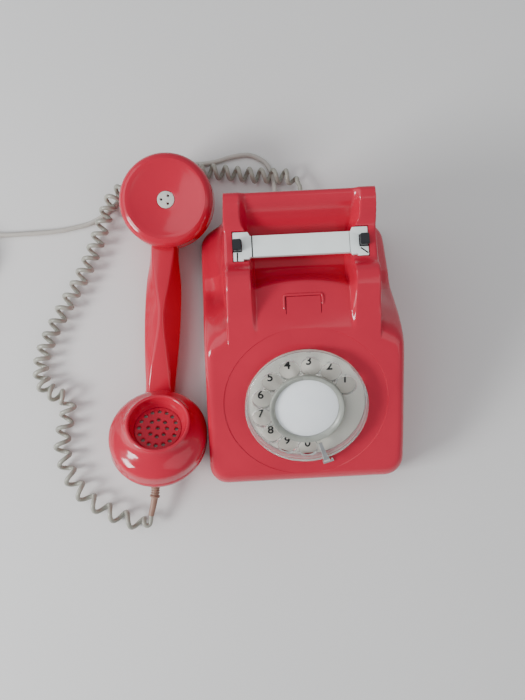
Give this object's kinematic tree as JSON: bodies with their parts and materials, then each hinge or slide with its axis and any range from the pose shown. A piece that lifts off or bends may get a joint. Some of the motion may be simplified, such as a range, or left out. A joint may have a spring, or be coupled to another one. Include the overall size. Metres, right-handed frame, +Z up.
{
  "type": "rotary desk telephone",
  "caption": "Small rotary telephone: sloped case with finger wheel, cradle horns and carrying bar, handset beside it, curly cord and coiled line cord.",
  "frame": {"origin": "centre of the case's footprint on the surface it stands on", "axes": "+X to the right seen from the dial, +Y to the back, +Z up"},
  "size_m": [0.3341, 0.2644, 0.1001],
  "materials": {
    "red_case": "glossy moulded red",
    "red_handset": "glossy moulded red",
    "bar_plastic": "smooth off-white",
    "steel": "zinc-plated",
    "bright_steel": "polished",
    "rubber": "matt",
    "number_plate": "satin warm grey",
    "alloy": "cast",
    "brass": "satin",
    "clear_plastic": "clear",
    "label": "pale card",
    "black_plastic": "satin",
    "brown_plastic": "laminate and bobbin",
    "bell_metal": "spun",
    "cord_grey": "satin",
    "boot_rubber": "aged",
    "curly_cord": "glossy aged grey",
    "line_cord": "satin pale grey"
  },
  "bodies": {
    "base": {"base_plate": "steel", "rubber_feet": "rubber", "case": "red_case", "blanking_plug": "red_case", "carrying_bar": "bar_plastic", "bar_screws": "steel", "number_plate": "number_plate", "finger_stop": "bright_steel", "dial_frame": "alloy", "dial_bridge": "alloy", "dial_screws": "steel", "pulse_contacts": "brass", "plunger_springs": "steel", "switch_bracket": "steel", "switch_contacts": "brown_plastic", "bell_bracket": "steel", "gong_left": "bell_metal", "gong_right": "bell_metal", "gong_screws": "steel", "bell_core": "steel", "bell_coils": "brown_plastic", "circuit_board": "brown_plastic", "board_standoffs": "steel", "induction_coil": "brown_plastic", "capacitor": "black_plastic", "terminal_block": "bar_plastic", "terminal_screws": "brass", "cord_clamp": "steel", "line_boot": "cord_grey", "handset_cord_boot": "cord_grey", "handset_cord": "curly_cord", "line_cord": "line_cord", "line_cord_coil": "line_cord", "cord_tie": "black_plastic", "line_plug": "bar_plastic", "plug_jack": "brass"},
    "dial_wheel": {"finger_wheel": "clear_plastic", "label_card": "label", "label_cover": "clear_plastic", "dial_spindle": "steel", "main_gear": "brass"},
    "pulse_train": {"pinion_shaft": "steel", "pulse_cam": "bar_plastic", "governor_gear": "brass"},
    "governor": {"governor_shaft": "steel", "governor_weights": "brass"},
    "left_plunger": {"plunger_left": "black_plastic"},
    "right_plunger": {"plunger_right": "black_plastic"},
    "rocker": {"switch_rocker": "bar_plastic"},
    "ringer": {"bell_armature": "steel", "bell_clapper": "steel"},
    "handset": {"handset_handle": "red_handset", "earpiece_cap": "red_handset", "ear_insert": "bar_plastic", "receiver_capsule": "alloy", "mouthpiece_cap": "red_handset", "mouth_grille": "red_handset", "transmitter_capsule": "alloy", "handset_boot": "boot_rubber"}
  },
  "joints": [
    {"name": "dial_turn", "type": "hinge", "parent": "base", "child": "dial_wheel", "pos_m": [0, -0.0425, 0.0617], "axis": [0, 0.5, -0.866], "range_deg": [0, 326], "stiffness_Nm_per_rad": 0.006, "springref_deg": -85.94},
    {"name": "pulse_turn", "type": "hinge", "parent": "base", "child": "pulse_train", "pos_m": [0, -0.01652, 0.0767], "axis": [0, 0.5, -0.866], "range_deg": [-1304.5, 0]},
    {"name": "governor_turn", "type": "hinge", "parent": "base", "child": "governor", "pos_m": [0.0173, -0.02518, 0.0717], "axis": [0, 0.5, -0.866], "range_deg": [0, 3913]},
    {"name": "left_plunger_slide", "type": "slide", "parent": "base", "child": "left_plunger", "axis": [0, 0, -1], "range_m": [0, 0.005], "stiffness_N_per_m": 80, "springref_m": -0.004, "deforming": ["plunger_springs"]},
    {"name": "right_plunger_slide", "type": "slide", "parent": "base", "child": "right_plunger", "axis": [0, 0, -1], "range_m": [0, 0.005]},
    {"name": "rocker_tilt", "type": "hinge", "parent": "base", "child": "rocker", "pos_m": [0, 0.066, 0.0575], "axis": [1, 0, 0], "range_deg": [0, 25.1]},
    {"name": "ringer_swing", "type": "hinge", "parent": "base", "child": "ringer", "pos_m": [0, 0.0515, 0.017], "axis": [0, 0, 1], "range_deg": [0, 11], "stiffness_Nm_per_rad": 0.002, "springref_deg": -11.46},
    {"name": "handset_lift", "type": "slide", "parent": "base", "child": "handset", "axis": [0, 0, 1], "range_m": [0, 0.15]}
  ],
  "couplings": [
    {"joint": "pulse_turn", "follows": "dial_turn", "ratio": -4},
    {"joint": "governor_turn", "follows": "dial_turn", "ratio": 12},
    {"joint": "right_plunger_slide", "follows": "left_plunger_slide", "ratio": 1},
    {"joint": "rocker_tilt", "follows": "left_plunger_slide", "rad_per_m": 87.266}
  ]
}
